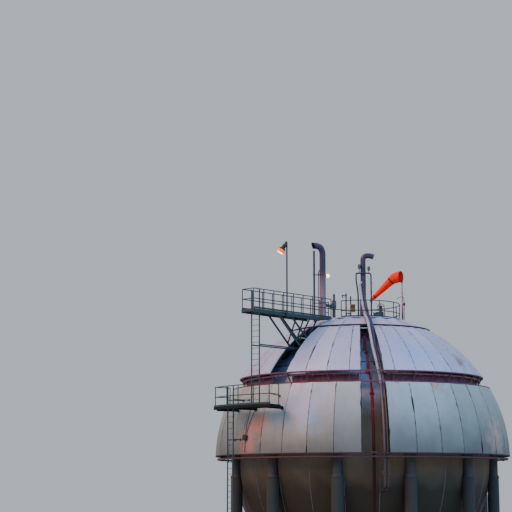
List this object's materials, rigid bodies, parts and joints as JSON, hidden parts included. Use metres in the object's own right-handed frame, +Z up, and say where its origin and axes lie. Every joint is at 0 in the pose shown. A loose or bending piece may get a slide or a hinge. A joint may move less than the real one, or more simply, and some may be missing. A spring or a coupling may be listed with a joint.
{
  "type": "spherical gas tank",
  "caption": "Spherical gas tank on columns, with stand-off cladding over its upper half, water spray rings, ladders, a bridge, vents and a windsock that swivels.",
  "frame": {"origin": "on the tank's vertical axis at ground level, the middle of the bottom of its box", "axes": "+Z up along the tank's axis, -Y towards the open bay with the two risers, +X to the right seen from there"},
  "size_m": [16.3924, 16.3924, 21.6033],
  "materials": {
    "shell_paint": "weathered grey-brown paint with rust streaks",
    "fireproofing": "trowelled concrete fireproofing, stained",
    "rod_steel": "dull red-brown primer, rusted",
    "cladding_sheet": "rolled sheet, satin, streaked below the seams",
    "frame_steel": "rusted red primer",
    "red_pipe": "faded fire-red paint",
    "vent_grey": "satin blue-grey paint",
    "access_steel": "worn teal-green paint",
    "lamp_housing": "dark satin paint",
    "lamp_post_grey": "light grey paint",
    "valve_paint": "dark grey-green paint",
    "mast_paint": "faded pink-red paint",
    "hoop_steel": "dull grey paint",
    "windsock_cloth": "woven orange-red cloth"
  },
  "bodies": {
    "tank": {"shell_lower_petal_1": "shell_paint", "shell_lower_petal_2": "shell_paint", "shell_lower_petal_3": "shell_paint", "shell_upper_petal_1": "shell_paint", "shell_upper_petal_2": "shell_paint", "shell_upper_petal_3": "shell_paint", "shell_bottom_head": "shell_paint", "shell_top_head": "shell_paint", "bottom_nozzle": "shell_paint", "column_01": "fireproofing", "column_02": "fireproofing", "column_03": "fireproofing", "column_04": "fireproofing", "column_05": "fireproofing", "column_06": "fireproofing", "column_07": "fireproofing", "column_08": "fireproofing", "column_09": "fireproofing", "column_10": "fireproofing", "column_11": "fireproofing", "column_12": "fireproofing", "sway_rods_1": "rod_steel", "sway_rods_2": "rod_steel", "sway_rods_3": "rod_steel", "sway_rods_4": "rod_steel", "lower_belt_right": "cladding_sheet", "lower_belt_back": "cladding_sheet", "lower_belt_left": "cladding_sheet", "upper_belt_right": "cladding_sheet", "upper_belt_back": "cladding_sheet", "upper_belt_front": "cladding_sheet", "crown_cap": "cladding_sheet", "lower_ledger": "frame_steel", "mid_frame": "frame_steel", "crown_ring": "frame_steel", "lower_deluge_ring": "red_pipe", "upper_deluge_ring": "red_pipe", "fire_water_riser": "red_pipe", "vent_line_pair": "vent_grey", "vent_stack": "vent_grey", "centre_vent": "vent_grey", "crown_railing": "access_steel", "landing": "access_steel", "landing_railing": "access_steel", "lower_ladder": "access_steel", "upper_ladder": "access_steel", "bridge": "access_steel", "bridge_railing": "access_steel", "floodlight_bar": "lamp_housing", "lamp_post": "lamp_post_grey", "relief_valve": "valve_paint", "gauge_stand": "valve_paint", "crown_valve": "valve_paint", "windsock_mast": "mast_paint"},
    "windsock_vane": {"windsock_hoop": "hoop_steel", "windsock": "windsock_cloth"}
  },
  "joints": [
    {"name": "windsock_swivel", "type": "hinge", "parent": "tank", "child": "windsock_vane", "pos_m": [2.41, 0, 19.5], "axis": [0, 0, 1], "continuous": true}
  ]
}
